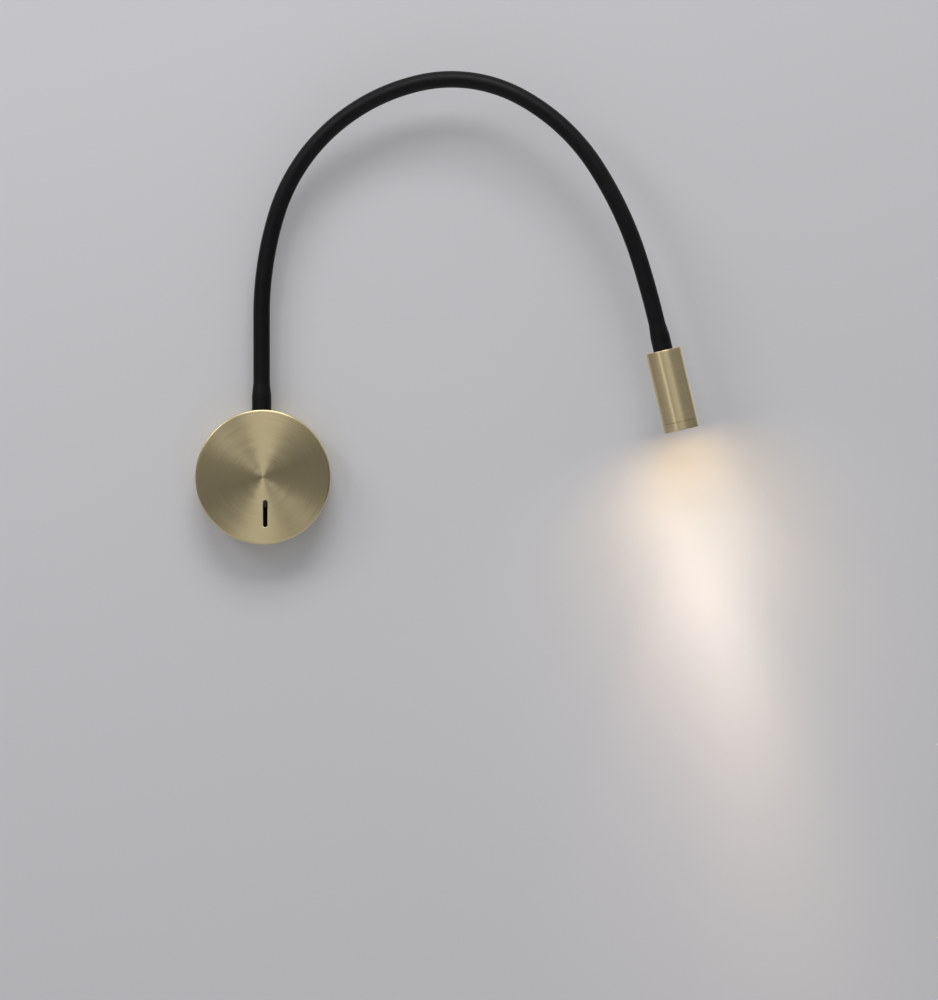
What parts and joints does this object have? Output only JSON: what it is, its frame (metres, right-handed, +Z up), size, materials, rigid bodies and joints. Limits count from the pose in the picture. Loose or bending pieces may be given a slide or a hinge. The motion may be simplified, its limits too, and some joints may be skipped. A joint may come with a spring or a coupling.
{
  "type": "wall reading lamp",
  "caption": "Wall reading lamp: round turned brass base with a slide dimmer, a black gooseneck arm and a slim brass tube head with a frosted lens.",
  "frame": {"origin": "middle of the wall bracket's back face, on the wall", "axes": "+Y into the wall, along the axis of the round base; +Z up; the arm leaves the base upwards and arches over to +X"},
  "size_m": [0.3735, 0.0561, 0.3506],
  "materials": {
    "turned_brass": "fine turned and lacquered, satin champagne tone",
    "sleeve_rubber": "matt black moulded",
    "hose_steel": "bright wound steel",
    "lead_jacket": "black round cable jacket",
    "zinc_steel": "zinc plated sheet",
    "plated_screw": "plated steel",
    "nickel_brass": "nickel plated",
    "bush_rubber": "moulded",
    "white_nylon": "moulded",
    "driver_plastic": "moulded, potted",
    "black_plastic": "moulded, fine grain",
    "board_laminate": "green solder resist",
    "wire_jacket": "wire jacket",
    "aluminium_slug": "turned",
    "led_board_coat": "white solder resist",
    "led_phosphor": "phosphor, warm white when lit",
    "optic_acrylic": "clear moulded optic",
    "frosted_glass": "fine frosted"
  },
  "bodies": {
    "base": {"base_cover": "turned_brass", "board_screws": "plated_screw", "board_spacers": "plated_screw", "cable_bush": "bush_rubber", "cover_grub_screws": "plated_screw", "dimmer_board": "board_laminate", "dimmer_wires": "wire_jacket", "driver_case": "driver_plastic", "driver_screws": "plated_screw", "earth_screw": "plated_screw", "earth_tag": "nickel_brass", "inner_carrier": "zinc_steel", "root_ferrule": "nickel_brass", "root_hose": "hose_steel", "root_lead": "lead_jacket", "root_lock_washer": "zinc_steel", "root_nut": "nickel_brass", "root_sleeve": "sleeve_rubber", "saddle_washer": "zinc_steel", "slide_track": "black_plastic", "terminal_block": "white_nylon", "terminal_screws": "nickel_brass", "wall_bracket": "zinc_steel"},
    "dimmer": {"dimmer_lever": "black_plastic", "dimmer_wiper": "nickel_brass"},
    "arm_1": {"sleeve_1": "sleeve_rubber", "hose_1": "hose_steel", "lead_1": "lead_jacket"},
    "arm_2": {"sleeve_2": "sleeve_rubber", "hose_2": "hose_steel", "lead_2": "lead_jacket"},
    "arm_3": {"sleeve_3": "sleeve_rubber", "hose_3": "hose_steel", "lead_3": "lead_jacket"},
    "arm_4": {"sleeve_4": "sleeve_rubber", "hose_4": "hose_steel", "lead_4": "lead_jacket"},
    "arm_5": {"sleeve_5": "sleeve_rubber", "hose_5": "hose_steel", "lead_5": "lead_jacket"},
    "arm_6": {"sleeve_6": "sleeve_rubber", "hose_6": "hose_steel", "lead_6": "lead_jacket"},
    "head": {"head_sleeve": "sleeve_rubber", "head_hose": "hose_steel", "head_lead": "lead_jacket", "head_ferrule": "nickel_brass", "head_lock_washer": "zinc_steel", "head_nut": "nickel_brass", "head_body": "turned_brass", "front_ring": "turned_brass", "front_glass": "frosted_glass", "glass_gasket": "bush_rubber", "heat_slug": "aluminium_slug", "led_board": "led_board_coat", "led_board_screws": "plated_screw", "led_chip": "led_phosphor", "collimator": "optic_acrylic"}
  },
  "joints": [
    {"name": "arm_bend_1", "type": "hinge", "parent": "base", "child": "arm_1", "pos_m": [-0.0012, -0.01433, 0.11998], "axis": [0.9951, -0.0992, -0.0053], "range_deg": [0, 15]},
    {"name": "arm_bend_2", "type": "hinge", "parent": "arm_1", "child": "arm_2", "pos_m": [0.01005, -0.01945, 0.19498], "axis": [0.0993, 0.9936, 0.0529], "range_deg": [-20, 15]},
    {"name": "arm_bend_3", "type": "hinge", "parent": "arm_2", "child": "arm_3", "pos_m": [0.05045, -0.02686, 0.25818], "axis": [0.6645, -0.0266, -0.7468], "range_deg": [0, 20]},
    {"name": "arm_bend_4", "type": "hinge", "parent": "arm_3", "child": "arm_4", "pos_m": [0.11732, -0.03535, 0.29208], "axis": [0.0993, 0.9936, 0.0529], "range_deg": [-25, 15]},
    {"name": "arm_bend_5", "type": "hinge", "parent": "arm_4", "child": "arm_5", "pos_m": [0.19097, -0.04214, 0.28137], "axis": [-0.4687, 0.0937, -0.8784], "range_deg": [-3, 25]},
    {"name": "arm_bend_6", "type": "hinge", "parent": "arm_5", "child": "arm_6", "pos_m": [0.24641, -0.04495, 0.23019], "axis": [0.0993, 0.9936, 0.0529], "range_deg": [-25, 25]},
    {"name": "arm_bend_7", "type": "hinge", "parent": "arm_6", "child": "head", "pos_m": [0.27887, -0.04453, 0.1614], "axis": [-0.9485, 0.1106, -0.2969], "range_deg": [-10, 35]},
    {"name": "dimmer_slide", "type": "slide", "parent": "base", "child": "dimmer", "axis": [0, 0, 1], "range_m": [-0.014, 0]}
  ]
}
